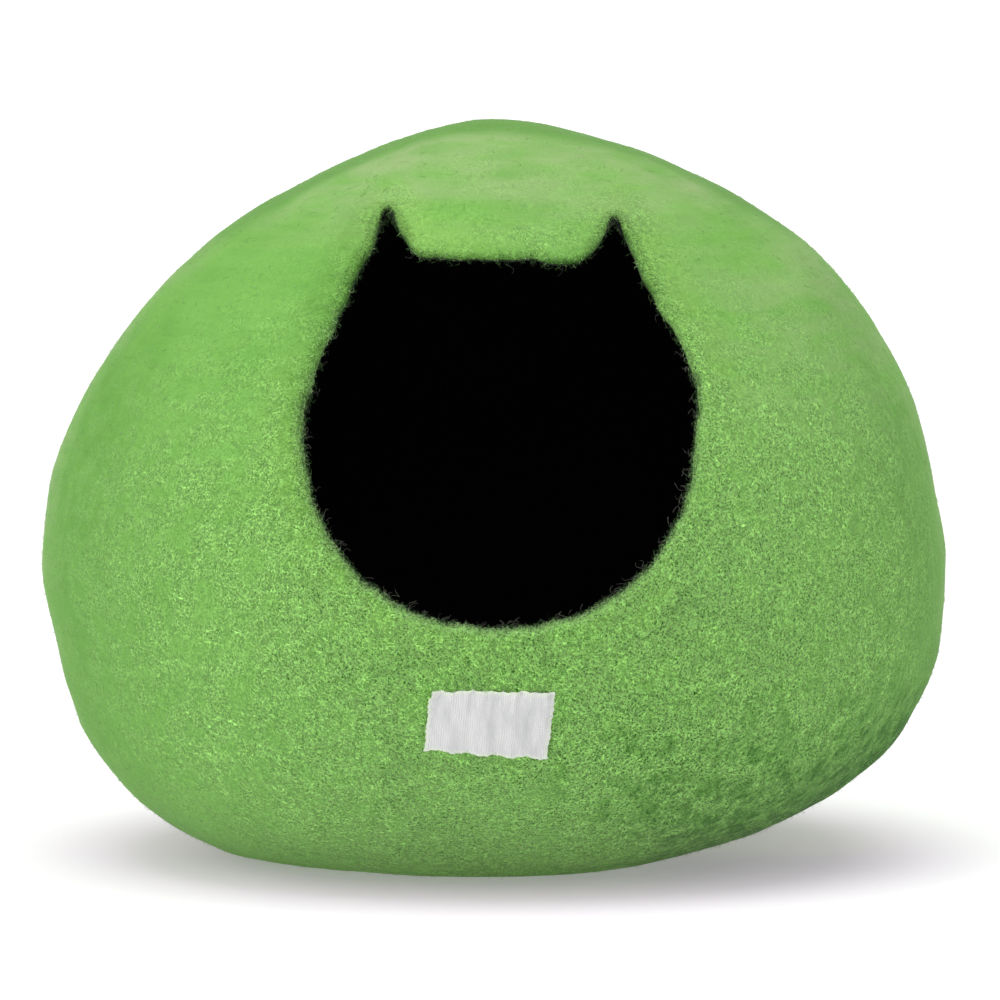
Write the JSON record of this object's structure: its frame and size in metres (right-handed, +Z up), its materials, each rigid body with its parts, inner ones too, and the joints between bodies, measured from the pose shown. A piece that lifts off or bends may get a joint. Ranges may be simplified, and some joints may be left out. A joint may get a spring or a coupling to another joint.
{
  "type": "felt cat cave",
  "caption": "Round felted wool cave for a cat, a squashed dome open at the front through a mouth shaped like a cat's head, with a small bare woven label sewn below it.",
  "frame": {"origin": "on the floor, under the middle of the whole object's box", "axes": "+Z up, the mouth and the label face -Y, +X to the right as seen from the front"},
  "size_m": [0.4619, 0.4427, 0.3758],
  "materials": {
    "green_felt": "wet-felted wool, leaf green outside and charcoal black inside, matte with a fine tangle of fibres",
    "woven_label": "pale woven tape, bare, with a faint thread grain"
  },
  "bodies": {
    "root": {"felt_shell": "green_felt", "label": "woven_label"}
  },
  "joints": []
}
